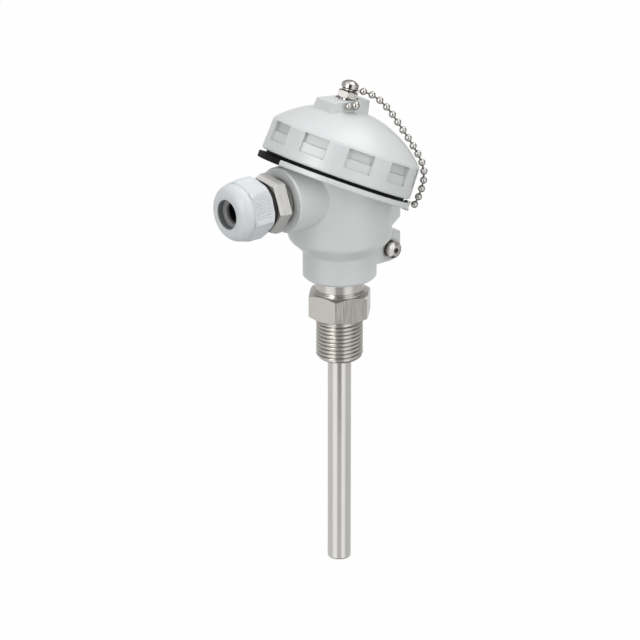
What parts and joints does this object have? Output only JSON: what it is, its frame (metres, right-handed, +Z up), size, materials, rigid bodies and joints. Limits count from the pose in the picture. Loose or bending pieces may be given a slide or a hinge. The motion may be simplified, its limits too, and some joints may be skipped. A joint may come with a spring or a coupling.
{
  "type": "thermocouple probe",
  "caption": "Thermocouple probe: closed metal tube with pipe thread and hexagon under a cast connection head with slanted screw cap, ball chain and cable gland.",
  "frame": {"origin": "on the stem axis at the underside of the hexagon, where the pipe thread's shoulder seats", "axes": "+Z up the stem towards the head, -X along the cable gland's mouth"},
  "size_m": [0.0976, 0.0704, 0.2256],
  "materials": {
    "stainless": "turned stainless steel",
    "ceramic": "unglazed white ceramic",
    "thermo_alloy": "drawn alloy wire",
    "head_paint": "light grey baked paint on cast aluminium",
    "black_rubber": "black rubber sheet",
    "nickel_plate": "bright nickel plate",
    "dark_steel": "dark spring steel",
    "satin_nickel": "satin nickel on brass",
    "grey_plastic": "light grey moulded plastic",
    "seal_rubber": "dark grey rubber",
    "brass": "machined brass"
  },
  "bodies": {
    "head": {"head_housing": "head_paint", "process_fitting": "stainless", "stem_tube": "stainless", "insulator_beads": "ceramic", "hot_junction": "thermo_alloy", "thermocouple_wire_positive": "thermo_alloy", "thermocouple_wire_negative": "thermo_alloy", "chain_eyelet": "nickel_plate", "chain_rivet": "nickel_plate", "earth_washer": "nickel_plate", "earth_spring_washer": "dark_steel", "earth_screw": "nickel_plate", "gland_body": "satin_nickel", "gland_claws": "grey_plastic", "terminal_block": "ceramic", "block_screws": "nickel_plate", "terminal_post_positive": "brass", "terminal_post_negative": "brass", "terminal_screws": "nickel_plate"},
    "gasket": {"cap_gasket": "black_rubber"},
    "cap": {"screw_cap": "head_paint", "chain_screw": "nickel_plate", "chain_lock_nut": "nickel_plate", "chain_lock_washer": "nickel_plate", "ball_chain": "nickel_plate", "chain_loop": "nickel_plate", "chain_coupling": "nickel_plate"},
    "gland_seal": {"gland_seal": "seal_rubber"},
    "gland_nut": {"gland_nut": "grey_plastic"}
  },
  "joints": [
    {"name": "cap_lift", "type": "slide", "parent": "head", "child": "gasket", "axis": [0.4305, 0, 0.9026], "range_m": [0, 0.008]},
    {"name": "cap_turn", "type": "hinge", "parent": "gasket", "child": "cap", "pos_m": [-0.0029, 0, 0.06566], "axis": [0.4305, 0, 0.9026], "range_deg": [0, 900]},
    {"name": "gland_seal_travel", "type": "slide", "parent": "head", "child": "gland_seal", "axis": [-1, 0, 0], "range_m": [-0.0011, 0.005]},
    {"name": "gland_nut_turn", "type": "hinge", "parent": "gland_seal", "child": "gland_nut", "pos_m": [-0.0549, 0, 0.0614], "axis": [-1, 0, 0], "range_deg": [-180, 1080]}
  ],
  "couplings": [
    {"joint": "cap_lift", "follows": "cap_turn", "m_per_rad": 0.00047746},
    {"joint": "gland_seal_travel", "follows": "gland_nut_turn", "m_per_rad": 0.00023873}
  ]
}
